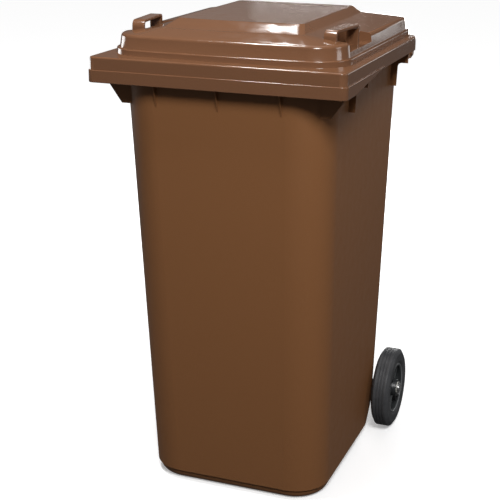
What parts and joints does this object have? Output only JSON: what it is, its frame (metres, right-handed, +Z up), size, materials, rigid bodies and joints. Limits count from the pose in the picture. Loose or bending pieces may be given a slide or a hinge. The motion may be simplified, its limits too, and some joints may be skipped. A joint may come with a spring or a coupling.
{
  "type": "wheelie bin",
  "caption": "Two-wheeled refuse bin with a tapered tub, a hinged domed lid with loop grips, a rear handle bar and rubber-tyred wheels on a steel axle.",
  "frame": {"origin": "on the ground, at the centre of the overall width and depth", "axes": "+Z up, +X towards the bin's right side, the lid opens from the -Y side and the wheels are at the +Y side"},
  "size_m": [0.58, 0.71, 1.104],
  "materials": {
    "tub_plastic": "fine moulded grain",
    "lid_plastic": "satin moulded",
    "pin_plastic": "moulded",
    "axle_steel": "zinc plated",
    "sleeve_plastic": "moulded",
    "washer_steel": "zinc plated",
    "tyre_rubber": "matt rubber",
    "rim_plastic": "moulded",
    "bush_plastic": "natural nylon"
  },
  "bodies": {
    "container": {"container": "tub_plastic", "hinge_pin_left": "pin_plastic", "hinge_pin_right": "pin_plastic", "axle": "axle_steel", "spacer_sleeve_left": "sleeve_plastic", "spacer_sleeve_right": "sleeve_plastic", "washer_inner_left": "washer_steel", "washer_inner_right": "washer_steel", "washer_outer_left": "washer_steel", "washer_outer_right": "washer_steel", "push_cap_left": "washer_steel", "push_cap_right": "washer_steel"},
    "lid": {"lid": "lid_plastic"},
    "wheel_left": {"tyre_left": "tyre_rubber", "rim_left": "rim_plastic", "bush_inner_left": "bush_plastic", "bush_outer_left": "bush_plastic"},
    "wheel_right": {"tyre_right": "tyre_rubber", "rim_right": "rim_plastic", "bush_inner_right": "bush_plastic", "bush_outer_right": "bush_plastic"}
  },
  "joints": [
    {"name": "lid_hinge", "type": "hinge", "parent": "container", "child": "lid", "pos_m": [0, 0.339, 0.978], "axis": [-1, 0, 0], "range_deg": [0, 240]},
    {"name": "wheel_left_spin", "type": "hinge", "parent": "container", "child": "wheel_left", "pos_m": [-0.2537, 0.245, 0.103], "axis": [1, 0, 0], "continuous": true},
    {"name": "wheel_right_spin", "type": "hinge", "parent": "container", "child": "wheel_right", "pos_m": [0.2537, 0.245, 0.103], "axis": [1, 0, 0], "continuous": true}
  ]
}
